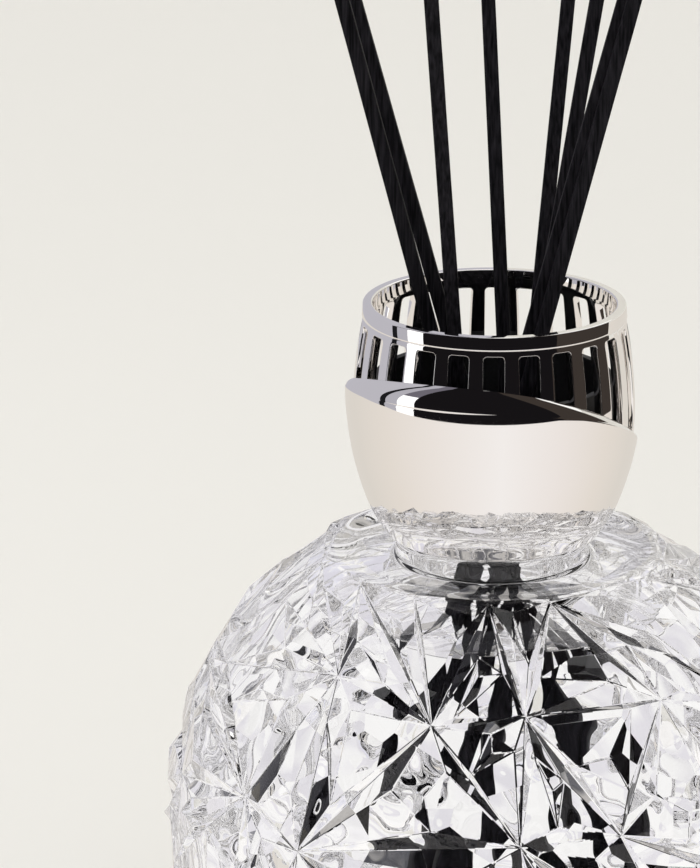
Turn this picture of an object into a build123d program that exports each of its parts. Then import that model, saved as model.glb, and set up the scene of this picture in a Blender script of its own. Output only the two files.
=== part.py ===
from build123d import *
import os
from math import cos, floor, radians, sin, sqrt

# Reed diffuser: a cut-glass ball bottle, a chromed crown that stands on its neck, and eight
# square reeds. Millimetres, +Z up, origin at the middle of the base, on the bottle's axis.
# Azimuths are measured from the front (-Y), positive towards +X.

# --- ball bottle ---
BALL_R = 57.5            # radius of the ball at the top of the cut pattern
BALL_Z = 51.0            # height of the ball's centre
SMOOTH_R = 57.8          # uncut glass outside the pattern
SHOULDER_Z = 98.0        # shoulder at the root of the neck
SHOULDER_RIM_R = 29.5    # the shoulder is dished: it is highest at this radius
SHOULDER_RIM_Z = 99.3
SHOULDER_END_R = 35.0    # here the shoulder runs into the ball
CHAMBER_R = 46.0         # the hollow is a ball too, set a little lower than the outside
CHAMBER_Z = 49.5
CHAMBER_FLOOR_Z = 9.0
CHAMBER_FILLET = 5.0
FOOT_R = 24.5            # flat ring that the bottle stands on
FOOT_BEVEL = 2.0         # outside the ring the ball is cut back, rising gently to this height
PUNT_R = 17.0
PUNT_DEPTH = 1.8

# --- cut pattern: rings of star nodes joined by V grooves, with tilted facets between them ---
NODE_RINGS = 6
NODES_PER_RING = 13
TOP_NODE_LAT = 58.0      # degrees above the ball's equator; the lowest ring is as far below it
NODE_DEPTH = 1.5         # how far below the ball's surface the grooves meet
END_DEPTH = 0.9          # the same for the highest and the lowest ring
DEPTH_SPREAD = 0.6       # how unevenly deep the nodes are, as a share of their depth
NODE_SWAY = 0.36         # how unevenly nodes are placed, as a share of their spacing
FLIP_ABOVE = 0.45        # cells whose scatter is above this are split along their long diagonal
GROOVE_SHARE = (0.1, 0.55)   # groove flank's width, as a share of the way to the cell's middle
SHOULDER_SLIDE = 0.3     # how far a flank's corner slides along its groove, as a share of it
SHOULDER_DIP = 1.9       # flank corners lie up to this far below the ball's surface
PEAK_SLIDE = 0.3         # how far a cell's peak is off its middle
PEAK_DIP = 1.1
CAP_Z = 64.0             # peak of the cone over the highest ring, above the ball's centre
BASE_CAP_Z = 74.0        # peak of the cone under the lowest ring, below the ball's centre

# --- neck ---
RING_R = 16.7            # glass ring that carries the crown
RING_TOP_Z = 101.8
NECK_R = 13.0
NECK_TOP_Z = 113.0
BORE_R = 9.0
EDGE = 1.0               # rounding of the neck's glass edges

# --- gasket ---
GASKET_T = 0.6
GASKET_R = (13.15, 16.0)

# --- crown ---
CROWN_Z = 102.5          # underside of the crown
CROWN_H = 40.5
BOWL_OUTSIDE = [(18.3, 0.0), (21.3, 5.0), (23.75, 12.4), (24.95, 19.0), (25.4, 25.0), (25.0, 33.0)]
BOWL_FLOOR_T = 1.4
BOWL_HOLE_R = 13.6
BOWL_WALL = 1.4
SEAT_H = 10.5            # the gallery and the liner meet here
SEAT_STEP = 0.2          # the bowl's inside steps in this much under the gallery
GALLERY_OUTSIDE = [(22.3, 10.5), (23.7, 15.5), (24.15, 21.0), (24.0, 26.5), (23.35, 32.5), (22.4, 38.0)]
GALLERY_WALL = 1.7
BAND_H = 2.5             # plain band at the top of the gallery
BAND_PROUD = 0.15
RIM_ROUND = 0.6          # rounding of the mouth's rim
GALLERY_GAP = 0.03       # room between the gallery and the bowl it is pressed into
WINDOWS = 24
WINDOW_W = 3.6
WINDOW_LOW = 17.0
WINDOW_HIGH = 37.2
WINDOW_CORNER = 0.7

# the bowl's lip is a wave: mean height, then (swing, turns per lap, azimuth in degrees)
LIP_MEAN = 21.6
LIP_WAVES = [(7.07, 1, -34.3), (1.21, 2, 29.2), (0.75, 3, 42.5)]
LEDGE_MIN = 0.4          # rise of the sloping ledge from the lip to the gallery
LEDGE_SWELL = 4.0        # it swells towards the front
LEDGE_AZIMUTH = -20.0
LEDGE_POWER = 4           # the higher, the more the swell keeps to the front
LIP_POINTS = 48
LEDGE_CREST_R = 25.3     # the sloping ledge runs between these two radii
LEDGE_GALLERY_R = 23.7
LEDGE_CUT_R = (22.0, 30.0)   # the ledge's cutter reaches from inside the bowl's wall to outside it

# --- liner, the plastic socket in the crown ---
SOCKET_R = 13.06
SOCKET_WALL = 1.3
LINER_PLATE_T = 1.5
LINER_PLATE_GAP = 0.9    # the plate's edge stays this far inside the gallery's outside
RIBS = 8
RIB_T = 1.2
RIB_REACH = 2.2
SLEEVE_R = 20.4          # dark sleeve behind the windows
SLEEVE_WALL = 1.2
SLEEVE_TOP_H = 27.5

# --- fragrance ---
FILL_Z = 86.0
REED_ROOM = 0.4          # clear liquid-free room on each side of a reed

# --- reeds ---
REED_SIDE = 2.4
REED_LENGTH = 250.0
THROAT_Z = 107.0         # middle of the neck, where the reeds come closest together
# each reed: where it passes the throat (x, y), and how far it leans per mm of height (x, y)
REEDS = [
    ((-3.0, 4.7), (-0.262, -0.031)),
    ((0.1, 6.3), (-0.284, 0.065)),
    ((-4.5, 0.2), (-0.068, -0.201)),
    ((3.1, 2.1), (-0.054, 0.107)),
    ((4.3, -1.0), (0.090, 0.172)),
    ((2.6, -4.8), (0.160, 0.092)),
    ((-2.0, -3.2), (0.253, -0.076)),
    ((-0.2, -6.4), (0.248, -0.075)),
]
REED_FOOT_GAP = 1.0      # reeds stop this far above the glass they stand on
REED_WALL_GAP = 0.5      # more room where the glass is steep

OVERLAP = 1.0            # cutters and joined pieces run this far past the surface they meet


def on_ball(radius, latitude, azimuth):
    """Point at a radius from the ball's centre, with angles in degrees."""
    level = radius * cos(radians(latitude))
    return Vector(
        level * sin(radians(azimuth)),
        -level * cos(radians(azimuth)),
        BALL_Z + radius * sin(radians(latitude)),
    )


def scatter(*keys):
    """Even-handed number from -1 to 1 that depends only on the keys."""
    mixed = sin(sum(weight * key for weight, key in zip((12.99, 78.23, 37.72), keys)) + 0.5) * 4375.85
    return 2 * (mixed - floor(mixed)) - 1


def star_node(ring, place):
    """Star node, below the ball's surface, where the grooves meet."""
    place = place % NODES_PER_RING
    lat_step = 2 * TOP_NODE_LAT / (NODE_RINGS - 1)
    az_step = 360 / NODES_PER_RING
    outermost = ring in (0, NODE_RINGS - 1)
    sway_up = 0 if outermost else scatter(ring, place, 1) * NODE_SWAY
    sway_round = scatter(ring, place, 2) * NODE_SWAY
    latitude = TOP_NODE_LAT - lat_step * (ring + sway_up)
    azimuth = az_step * (place + 0.5 * (ring % 2) + sway_round)
    depth = END_DEPTH if outermost else NODE_DEPTH * (1 + DEPTH_SPREAD * scatter(ring, place, 9))
    return on_ball(BALL_R - depth, latitude, azimuth)


def at_depth(point, depth):
    """The point moved in or out to a depth below the ball's surface."""
    arm = point - Vector(0, 0, BALL_Z)
    return Vector(0, 0, BALL_Z) + arm * ((BALL_R - depth) / arm.length)


def flank_corner(start, end, middle, keys, side):
    """Corner that the facets beside one groove share, at an uneven place and depth."""
    low, high = GROOVE_SHARE
    share = low + (high - low) * (0.5 + 0.5 * scatter(*keys, side))
    along = 0.5 + SHOULDER_SLIDE * scatter(*keys, side + 3)
    foot = start + (end - start) * along
    return at_depth(foot + (middle - foot) * share, SHOULDER_DIP * (0.5 + 0.5 * scatter(*keys, side + 6)))


def cell_peak(shoulders, keys):
    """Point inside a cell that its inner facets share."""
    weights = [1 + PEAK_SLIDE * scatter(*keys, side + 9) for side in range(3)]
    weighted = shoulders[0] * weights[0] + shoulders[1] * weights[1] + shoulders[2] * weights[2]
    return at_depth(weighted / sum(weights), PEAK_DIP * (0.5 + 0.5 * scatter(*keys, 12)))


def cell_faces(corners, keys):
    """Triangles of one cell: groove flanks, facets that run to its corners, and inner facets."""
    middle = (corners[0] + corners[1] + corners[2]) / 3
    sides = [(corners[side], corners[(side + 1) % 3]) for side in range(3)]
    shoulders = [flank_corner(start, end, middle, keys, side) for side, (start, end) in enumerate(sides)]
    peak = cell_peak(shoulders, keys)
    faces = []
    for side, (start, end) in enumerate(sides):
        following = shoulders[(side + 1) % 3]
        faces.append((shoulders[side], following, peak))
        faces.append((start, end, shoulders[side]))
        faces.append((end, following, shoulders[side]))
    return faces


def ring_cells(ring, place):
    """Triangles of the two cells between a node, its right neighbour and the ring below."""
    odd = ring % 2
    here = star_node(ring, place)
    right = star_node(ring, place + 1)
    below = star_node(ring + 1, place + odd)
    below_right = star_node(ring + 1, place + 1 + odd)
    if scatter(ring, place, 11) > FLIP_ABOVE:
        cells = ((here, below, below_right), (here, below_right, right))
    else:
        cells = ((here, below, right), (right, below, below_right))
    return cell_faces(cells[0], (ring, place)) + cell_faces(cells[1], (ring, place + 40))


def pattern_triangles():
    """All triangles of the closed, cut outside of the ball."""
    triangles = []
    for ring in range(NODE_RINGS - 1):
        for place in range(NODES_PER_RING):
            triangles += ring_cells(ring, place)
    for ring, peak in ((0, CAP_Z), (NODE_RINGS - 1, -BASE_CAP_Z)):
        for place in range(NODES_PER_RING):
            side = (star_node(ring, place), star_node(ring, place + 1))
            triangles.append((side[0], side[1], Vector(0, 0, BALL_Z + peak)))
    return triangles


def cut_pattern():
    """Closed solid whose outside is the cut pattern."""
    faces = [Face(Wire.make_polygon(corners, close=True)) for corners in pattern_triangles()]
    return Solid(Shell(faces))


def revolved(*edges):
    """Solid of revolution about Z from a closed outline in the XZ plane."""
    outline = Wire(list(edges))
    return Solid.revolve(Face(outline), 360, Axis.Z)


def path(*points):
    """Straight edges in the XZ plane through (radius, height) points."""
    spots = [Vector(r, 0, z) for r, z in points]
    return [Edge.make_line(a, b) for a, b in zip(spots, spots[1:])]


def spline(points, lift=0.0, tangents=None):
    """Smooth edge in the XZ plane through (radius, height) points."""
    spots = [Vector(r, 0, z + lift) for r, z in points]
    return Edge.make_spline(spots, tangents=tangents)


def ball_blank():
    """Uncut ball: base, sphere and dished shoulder."""
    half_chord = sqrt(SMOOTH_R**2 - BALL_Z**2)
    shoulder_end_z = BALL_Z + sqrt(SMOOTH_R**2 - SHOULDER_END_R**2)
    sphere = Edge.make_three_point_arc(
        Vector(half_chord, 0, 0),
        Vector(SMOOTH_R, 0, BALL_Z),
        Vector(SHOULDER_END_R, 0, shoulder_end_z),
    )
    end_slope = Vector(shoulder_end_z - BALL_Z, 0, -SHOULDER_END_R)
    shoulder = spline(
        [
            (RING_R - EDGE, SHOULDER_Z),
            (0.5 * (RING_R + SHOULDER_RIM_R), SHOULDER_Z + 0.5),
            (SHOULDER_RIM_R, SHOULDER_RIM_Z),
            (SHOULDER_END_R, shoulder_end_z),
        ],
        tangents=[Vector(1, 0, 0), end_slope.normalized()],
    )
    return revolved(
        *path((0, SHOULDER_Z), (0, 0), (half_chord, 0)),
        sphere,
        shoulder,
        *path((RING_R - EDGE, SHOULDER_Z), (0, SHOULDER_Z)),
    )


def neck_blank():
    """Glass ring that carries the crown, and the neck above it, both with rounded edges."""
    root_z = SHOULDER_Z - OVERLAP
    outline = path(
        (0, root_z), (RING_R, root_z), (RING_R, RING_TOP_Z), (NECK_R, RING_TOP_Z),
        (NECK_R, NECK_TOP_Z), (0, NECK_TOP_Z), (0, root_z),
    )
    blank = revolved(*outline)
    tops = [e for e in blank.edges().filter_by(GeomType.CIRCLE)
            if e.center().Z > RING_TOP_Z - EDGE and e.radius > NECK_R - EDGE]
    outer = [e for e in tops if e.radius > RING_R - EDGE or e.center().Z > NECK_TOP_Z - EDGE]
    return blank.fillet(EDGE, outer)


def chamber_outline(top_z):
    """Closed outline of the hollow in the ball, up to a height."""
    floor_r = sqrt(CHAMBER_R**2 - (CHAMBER_FLOOR_Z - CHAMBER_Z)**2)
    top_r = sqrt(CHAMBER_R**2 - (top_z - CHAMBER_Z)**2)
    wall = Edge.make_three_point_arc(
        Vector(floor_r, 0, CHAMBER_FLOOR_Z), Vector(CHAMBER_R, 0, CHAMBER_Z), Vector(top_r, 0, top_z)
    )
    floor_edge = path((0, top_z), (0, CHAMBER_FLOOR_Z), (floor_r, CHAMBER_FLOOR_Z))
    return [*floor_edge, wall, *path((top_r, top_z), (0, top_z))]


def hollow(top_z):
    """Solid that fills the hollow up to a height, with its floor's edge rounded."""
    blank = revolved(*chamber_outline(top_z))
    rim = [e for e in blank.edges().filter_by(GeomType.CIRCLE) if abs(e.center().Z - CHAMBER_FLOOR_Z) < EDGE]
    return blank.fillet(CHAMBER_FILLET, rim)


def glass_bottle():
    """Cut ball with its neck, hollow, and a shallow punt under the base."""
    chamber_top = CHAMBER_Z + sqrt(CHAMBER_R**2 - BORE_R**2)
    ball = ball_blank() & cut_pattern()
    body = ball + neck_blank()
    bore = Pos(0, 0, chamber_top - OVERLAP) * Cylinder(
        BORE_R, NECK_TOP_Z - chamber_top + 2 * OVERLAP, align=(Align.CENTER, Align.CENTER, Align.MIN)
    )
    flare = Pos(0, 0, NECK_TOP_Z - EDGE) * Cone(
        BORE_R, BORE_R + 2 * EDGE, 2 * EDGE, align=(Align.CENTER, Align.CENTER, Align.MIN)
    )
    punt = Cone(PUNT_R, PUNT_R - 3 * PUNT_DEPTH, PUNT_DEPTH, align=(Align.CENTER, Align.CENTER, Align.MIN))
    return body - hollow(chamber_top) - bore - flare - punt - foot_bevel()


def foot_bevel():
    """Ring cut away around the flat foot, so the ball stands on a narrow ring."""
    outer = sqrt(SMOOTH_R**2 - BALL_Z**2) + 2 * FOOT_BEVEL + OVERLAP
    return revolved(*path(
        (FOOT_R, 0), (FOOT_R, -OVERLAP), (outer, -OVERLAP), (outer, FOOT_BEVEL), (FOOT_R, 0)
    ))


def lean_axis(reed):
    """Unit direction of a reed, pointing up."""
    _, (lean_x, lean_y) = reed
    return Vector(lean_x, lean_y, 1).normalized()


def reed_foot(reed):
    """Middle of a reed's lower end: as low as the round bottom of the hollow lets it go."""
    (x, y), (lean_x, lean_y) = reed
    margin = REED_SIDE / sqrt(2) + REED_FOOT_GAP
    z = CHAMBER_Z
    step = 0.1
    while z - step > CHAMBER_FLOOR_Z + margin:
        trial = z - step
        reach = sqrt((x + lean_x * (trial - THROAT_Z))**2 + (y + lean_y * (trial - THROAT_Z))**2)
        if reach**2 + (trial - CHAMBER_Z)**2 > (CHAMBER_R - margin - REED_WALL_GAP)**2:
            break
        z = trial
    return Vector(x + lean_x * (z - THROAT_Z), y + lean_y * (z - THROAT_Z), z)


def reed_plane(reed):
    """Plane across a reed's foot; its square faces turn with the way the reed leans."""
    axis = lean_axis(reed)
    across = Vector(0, 1, 0).cross(axis)
    return Plane(origin=reed_foot(reed), x_dir=across.normalized(), z_dir=axis)


def reed_stick(reed, room=0.0, length=REED_LENGTH):
    """Square stick along a reed, with room added on every side."""
    side = REED_SIDE + 2 * room
    stick = Box(side, side, length + room, align=(Align.CENTER, Align.CENTER, Align.MIN))
    return reed_plane(reed) * Pos(0, 0, -room) * stick


def fragrance():
    """Liquid in the bottle, with room for each reed to slide out."""
    liquid = hollow(FILL_Z)
    for reed in REEDS:
        liquid = liquid - reed_stick(reed, REED_ROOM)
    return liquid


def neck_gasket():
    """Soft ring between the glass ring and the crown."""
    inner, outer = GASKET_R
    top = RING_TOP_Z + GASKET_T
    return revolved(*path((inner, RING_TOP_Z), (outer - EDGE, RING_TOP_Z), (outer, RING_TOP_Z),
                          (outer, top), (inner, top), (inner, RING_TOP_Z)))


def lip_height(azimuth):
    """Height of the bowl's wavy lip above the crown's underside."""
    return LIP_MEAN + sum(
        swing * cos(radians(turns * (azimuth - peak))) for swing, turns, peak in LIP_WAVES
    )


def ledge_top(azimuth):
    """Height where the ledge behind the lip meets the gallery."""
    swell = (0.5 + 0.5 * cos(radians(azimuth - LEDGE_AZIMUTH)))**LEDGE_POWER
    return lip_height(azimuth) + LEDGE_MIN + LEDGE_SWELL * swell


def wave_ring(radius, height_of):
    """Closed smooth edge round the crown at a radius, at the height that a function gives."""
    azimuths = [360 * k / LIP_POINTS for k in range(LIP_POINTS)]
    spots = [
        Vector(radius * sin(radians(a)), -radius * cos(radians(a)), CROWN_Z + height_of(a)) for a in azimuths
    ]
    return Edge.make_spline(spots, periodic=True)


def above_lip():
    """Everything above the bowl's wavy, sloping ledge."""
    inner_r, outer_r = LEDGE_CUT_R
    top = CROWN_H + OVERLAP

    def slope(radius):
        share = (LEDGE_CREST_R - radius) / (LEDGE_CREST_R - LEDGE_GALLERY_R)
        return lambda a: lip_height(a) + share * (ledge_top(a) - lip_height(a))

    inner_low = wave_ring(inner_r, slope(inner_r))
    outer_low = wave_ring(outer_r, slope(outer_r))
    inner_high = wave_ring(inner_r, lambda a: top)
    outer_high = wave_ring(outer_r, lambda a: top)
    walls = [
        Face.make_surface_from_curves(inner_low, outer_low),
        Face.make_surface_from_curves(inner_low, inner_high),
        Face.make_surface_from_curves(outer_low, outer_high),
        Face.make_surface_from_curves(inner_high, outer_high),
    ]
    return Solid(Shell(walls))


def crown_bowl():
    """Chromed bowl of the crown, with a floor ring and a wavy lip."""
    wall_inside = [(r - BOWL_WALL, h) for r, h in BOWL_OUTSIDE if 0 < h < SEAT_H]
    seat_r = GALLERY_OUTSIDE[0][0]
    lower_r = BOWL_OUTSIDE[0][0] - BOWL_WALL
    lower_inside = [(lower_r, BOWL_FLOOR_T), *wall_inside, (seat_r - SEAT_STEP, SEAT_H)]
    socket = [(r + GALLERY_GAP, h) for r, h in GALLERY_OUTSIDE[:-1]]
    top_out, top_in = BOWL_OUTSIDE[-1], socket[-1]
    blank = revolved(
        *path((BOWL_HOLE_R, CROWN_Z), (BOWL_OUTSIDE[0][0], CROWN_Z)),
        spline(BOWL_OUTSIDE, CROWN_Z),
        *path((top_out[0], CROWN_Z + top_out[1]), (top_in[0], CROWN_Z + top_in[1])),
        spline(socket[::-1], CROWN_Z),
        *path((socket[0][0], CROWN_Z + SEAT_H), (seat_r - SEAT_STEP, CROWN_Z + SEAT_H)),
        spline(lower_inside[::-1], CROWN_Z),
        *path((lower_r, CROWN_Z + BOWL_FLOOR_T), (BOWL_HOLE_R, CROWN_Z + BOWL_FLOOR_T)),
        *path((BOWL_HOLE_R, CROWN_Z + BOWL_FLOOR_T), (BOWL_HOLE_R, CROWN_Z)),
    )
    return blank - above_lip()


def window_cutter():
    """Rounded upright slot that cuts one window through the gallery at the front."""
    height = WINDOW_HIGH - WINDOW_LOW
    outline = Plane.XZ * RectangleRounded(WINDOW_W, height, WINDOW_CORNER)
    slot = extrude(outline, BOWL_OUTSIDE[-1][0] + OVERLAP)
    return Pos(0, 0, CROWN_Z + 0.5 * (WINDOW_HIGH + WINDOW_LOW)) * slot


def crown_gallery():
    """Chromed sleeve with its ring of windows and the plain band round its mouth."""
    inside = [(r - GALLERY_WALL, h) for r, h in GALLERY_OUTSIDE]
    band_r = GALLERY_OUTSIDE[-1][0] + BAND_PROUD
    mouth_r = inside[-1][0]
    seat_z = CROWN_Z + SEAT_H
    band_z = CROWN_Z + CROWN_H - BAND_H
    rim_z = CROWN_Z + CROWN_H
    blank = revolved(
        spline(GALLERY_OUTSIDE, CROWN_Z),
        *path((GALLERY_OUTSIDE[-1][0], band_z), (band_r, band_z), (band_r, rim_z), (mouth_r, rim_z),
              (mouth_r, band_z)),
        spline(inside[::-1], CROWN_Z),
        *path((inside[0][0], seat_z), (GALLERY_OUTSIDE[0][0], seat_z)),
    )
    rims = blank.edges().filter_by(GeomType.CIRCLE).group_by(Axis.Z)[-1]
    blank = blank.fillet(RIM_ROUND, rims)
    cutter = window_cutter()
    slots = [Rot(0, 0, 360 * k / WINDOWS) * cutter for k in range(WINDOWS)]
    return blank - slots


def liner_rib(plate_low):
    """One upright rib under the liner's plate, run a little way into the tube."""
    height = plate_low - BOWL_FLOOR_T
    rib = Box(RIB_REACH + OVERLAP, RIB_T, height, align=(Align.MIN, Align.CENTER, Align.MIN))
    return Pos(SOCKET_R + SOCKET_WALL - OVERLAP, 0, CROWN_Z + BOWL_FLOOR_T) * rib


def crown_liner():
    """Plastic socket: a tube over the neck, ribs, a plate, and a sleeve behind the windows."""
    tube_r = SOCKET_R + SOCKET_WALL
    plate_low = SEAT_H - LINER_PLATE_T
    plate_r = GALLERY_OUTSIDE[0][0] - LINER_PLATE_GAP
    sleeve_in = SLEEVE_R - SLEEVE_WALL
    outline = [
        (SOCKET_R, BOWL_FLOOR_T), (tube_r, BOWL_FLOOR_T), (tube_r, plate_low), (plate_r, plate_low),
        (plate_r, SEAT_H), (SLEEVE_R, SEAT_H), (SLEEVE_R, SLEEVE_TOP_H), (sleeve_in, SLEEVE_TOP_H),
        (sleeve_in, SEAT_H), (SOCKET_R, SEAT_H), (SOCKET_R, BOWL_FLOOR_T),
    ]
    body = revolved(*path(*[(r, CROWN_Z + h) for r, h in outline]))
    rib = liner_rib(plate_low)
    return body + [Rot(0, 0, 360 * (k + 0.5) / RIBS) * rib for k in range(RIBS)]


def main():
    os.makedirs("parts", exist_ok=True)
    nodes = {
        "glass_bottle": glass_bottle(),
        "fragrance": fragrance(),
        "neck_gasket": neck_gasket(),
        "crown_bowl": crown_bowl(),
        "crown_gallery": crown_gallery(),
        "crown_liner": crown_liner(),
    }
    for number, reed in enumerate(REEDS, 1):
        nodes[f"reed_{number}"] = reed_stick(reed)
    for name, shape in nodes.items():
        export_step(shape, f"parts/{name}.step")


main()
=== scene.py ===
import bpy
import bmesh
from math import asin, atan, atan2, cos, degrees, floor, hypot, pi, radians, sin, sqrt, tan
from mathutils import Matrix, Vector


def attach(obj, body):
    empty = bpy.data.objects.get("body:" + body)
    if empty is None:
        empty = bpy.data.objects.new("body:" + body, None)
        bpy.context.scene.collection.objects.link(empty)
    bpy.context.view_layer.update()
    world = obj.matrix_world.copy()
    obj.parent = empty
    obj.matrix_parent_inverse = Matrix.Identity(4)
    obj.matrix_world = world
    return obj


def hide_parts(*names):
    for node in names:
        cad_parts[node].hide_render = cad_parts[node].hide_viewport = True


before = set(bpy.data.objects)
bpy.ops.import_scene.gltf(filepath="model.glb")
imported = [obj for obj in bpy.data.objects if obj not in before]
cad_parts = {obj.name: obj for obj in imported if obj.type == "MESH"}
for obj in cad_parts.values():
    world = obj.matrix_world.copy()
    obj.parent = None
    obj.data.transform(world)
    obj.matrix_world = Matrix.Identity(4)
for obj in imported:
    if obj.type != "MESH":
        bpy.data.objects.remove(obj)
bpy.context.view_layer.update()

# Lengths below are in millimetres, as on the drawing; MM turns them into metres.
# Azimuths are in degrees from the front (-Y), positive towards +X.
MM = 0.001

# --- bottle ---
BALL_R = 57.5              # the cuts go down from here
BALL_Z = 51.0
SMOOTH_R = 57.8            # the turned blank, before it is cut
SHOULDER_Z = 98.0
SHOULDER_RIM_R = 29.5
SHOULDER_RIM_Z = 99.3
SHOULDER_END_R = 35.0
DISH_MID_RISE = 0.5        # the dish above SHOULDER_Z, half-way in and at the ring
DISH_END_RISE = 0.02
CHAMBER_R = 46.0
CHAMBER_Z = 49.5
CHAMBER_FLOOR_Z = 9.0
CHAMBER_FILLET = 5.0
FOOT_R = 24.5
FOOT_BEVEL = 2.0
PUNT_R = 17.0
PUNT_DEPTH = 1.8
BOTTLE_COLUMNS = 256

# --- cut pattern ---
NODE_RINGS = 6             # rings of star nodes, from the top down
NODES_PER_RING = 13
TOP_NODE_LAT = 58.0        # latitude of the top ring; the last ring's is the same below
NODE_DEPTH = 1.5
END_DEPTH = 0.9            # depth of the nodes in the top ring and the last
DEPTH_SPREAD = 0.6         # how much a node's depth varies, as a share of it
NODE_SWAY = 0.36           # how far a node strays from its place, in steps of the pattern
FLIP_ABOVE = 0.45          # draw above which two cells meet along their other diagonal
GROOVE_SHARE = (0.1, 0.55)   # least and most of the way from a groove to the cell's middle
SHOULDER_SLIDE = 0.3       # how far a flank's corner slides along its groove, as a share of it
SHOULDER_DIP = 1.9
PEAK_SLIDE = 0.3
PEAK_DIP = 1.1
CAP_Z = 64.0               # peak of the top cone above the ball's middle
BASE_CAP_Z = 74.0          # peak of the lower cone below the ball's middle
SLEEVE_SHARE = 0.72        # how far up the top cone a sleeve leaves it, to clear the neck
SLEEVE_OVER = 10.0         # how far the sleeve rises above the neck
DOMED_BELOW_Z = 92.0       # the cuts above are flatter
EDGE_WIDTH = 0.25          # rounding of the facets' edges

# --- neck ---
RING_R = 16.7
RING_TOP_Z = 101.8
NECK_R = 13.0
NECK_ROOT = 0.4            # fillet between the ring and the neck
NECK_TOP_Z = 113.0
BORE_R = 9.0
BORE_FLARE = 1.2
EDGE = 1.0

# --- crown, with heights from its foot ---
CROWN_Z = 102.5
CROWN_H = 40.5
CROWN_COLUMNS = 288
BOWL_OUTSIDE = [(18.3, 0.0), (21.3, 5.0), (23.75, 12.4), (24.95, 19.0), (25.4, 25.0), (25.0, 33.0)]
BOWL_FLOOR_T = 1.4
BOWL_HOLE_R = 13.6
BOWL_WALL = 1.4
BOWL_FOOT_ROUND = 0.35
BOWL_SIDE_FROM = 0.6       # height where the side starts, above the foot's rounding
SEAT_H = 10.5
SEAT_STEP = 0.2            # how far the bowl steps in under the sleeve
GALLERY_OUTSIDE = [(22.3, 10.5), (23.7, 15.5), (24.15, 21.0), (24.0, 26.5), (23.35, 32.5), (22.4, 38.0)]
GALLERY_WALL = 1.7
GALLERY_GAP = 0.03
BAND_PROUD = 0.15
BAND_ROUND = 0.3
WINDOWS = 24
WINDOW_W = 3.6
WINDOW_LOW = 17.0
WINDOW_HIGH = 37.2
WINDOW_CORNER = 0.7
WINDOW_EDGE = 0.08         # rounding of the windows' edges
WINDOW_COLUMNS = 12        # mesh columns across one window's bay
WINDOW_ROWS = 28
BAY_STEPS = 4              # mesh rings from a bay's border to its window
BEND_STEPS = 3             # mesh steps round each small bend of a window
LIP_MEAN = 21.6
LIP_WAVES = [(7.07, 1, -34.3), (1.21, 2, 29.2), (0.75, 3, 42.5)]   # swing, waves a turn, crest
LIP_ROUND = 0.3
LIP_MARGIN = 0.35          # where the outside stops, to leave room for the lip's rounding
LEDGE_MIN = 0.4
LEDGE_SWELL = 4.0
LEDGE_AZIMUTH = -20.0
LEDGE_POWER = 4
LEDGE_BULGE = 0.13         # as a share of the ledge's width
LEDGE_STEPS = 12
LEDGE_T = 0.1              # how far below the ledge's top the inside ends

# --- fragrance and reeds ---
FILL_Z = 86.0
MENISCUS = 0.6
MENISCUS_W = 2.4
SOAK = 0.12                # how far the liquid's mesh reaches into the glass
REED_SIDE = 2.4
REED_CORNER = 0.22
REED_LENGTH = 250.0
REED_ROWS = 60
REED_CORNER_POINTS = 4
REED_UNEVEN = 0.012        # how much a reed's thickness varies, as a share of it
THROAT_Z = 107.0
REED_FOOT_GAP = 1.0
REED_WALL_GAP = 0.5
REEDS = [                  # place at the throat (x, y), lean per millimetre of height (x, y)
    ((-3.0, 4.7), (-0.262, -0.031)),
    ((0.1, 6.3), (-0.284, 0.065)),
    ((-4.5, 0.2), (-0.068, -0.201)),
    ((3.1, 2.1), (-0.054, 0.107)),
    ((4.3, -1.0), (0.090, 0.172)),
    ((2.6, -4.8), (0.160, 0.092)),
    ((-2.0, -3.2), (0.253, -0.076)),
    ((-0.2, -6.4), (0.248, -0.075)),
]

# --- materials ---
GLASS_IOR = 1.52
LIQUID_IOR = 1.38
SMOOTH_RIPPLE = 0.15       # height of the slow waves in the dry turned glass and the top cuts
CUT_RIPPLE = 0.5           # and in the other cuts and the wetted glass
RIPPLES_PER_M = 95.0
DOME = 1.8                 # how far polishing has rounded a cut's edges below its middle
DOMES_PER_M = 95.0
CUT_SHEEN = 0.2            # specular level of the domed cuts; plain glass has 0.5
CLEAR, WET, CUT = range(3)   # numbers of the bottle's materials
TOP, SIDE = range(2)       # numbers of the liquid's materials

# ---------------------------------------------------------------- camera
SENSOR = 24.0
VIEW_H = 147.56            # height that the view takes in at the crown
CAMERA_FAR = 800.0         # camera to crown
CAMERA_RISE = 15.6         # degrees above the crown's rim
AIM_RIGHT, AIM_UP = 25.5, 22.61   # how far right of and above the view's middle the rim's middle lies


def make_camera():
    """Long lens, looking down on the crown, with the object right of the middle."""
    data = bpy.data.cameras.new("camera")
    data.sensor_fit = "VERTICAL"
    data.sensor_height = SENSOR
    data.lens = CAMERA_FAR * SENSOR / VIEW_H
    data.clip_end = 20.0
    camera = bpy.data.objects.new("camera", data)
    bpy.context.scene.collection.objects.link(camera)
    rim = Vector((0, 0, (CROWN_Z + CROWN_H) * MM))
    rise = radians(CAMERA_RISE)
    camera.location = rim + Vector((0, -cos(rise), sin(rise))) * CAMERA_FAR * MM
    pitch = rise + atan(AIM_UP / CAMERA_FAR)
    yaw = atan(AIM_RIGHT / CAMERA_FAR)
    camera.rotation_euler = (pi / 2 - pitch, 0, yaw)
    bpy.context.scene.camera = camera


make_camera()

# ---------------------------------------------------------------- helpers


def new_object(name, mesh):
    obj = bpy.data.objects.new(name, mesh)
    bpy.context.scene.collection.objects.link(obj)
    return obj


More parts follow.
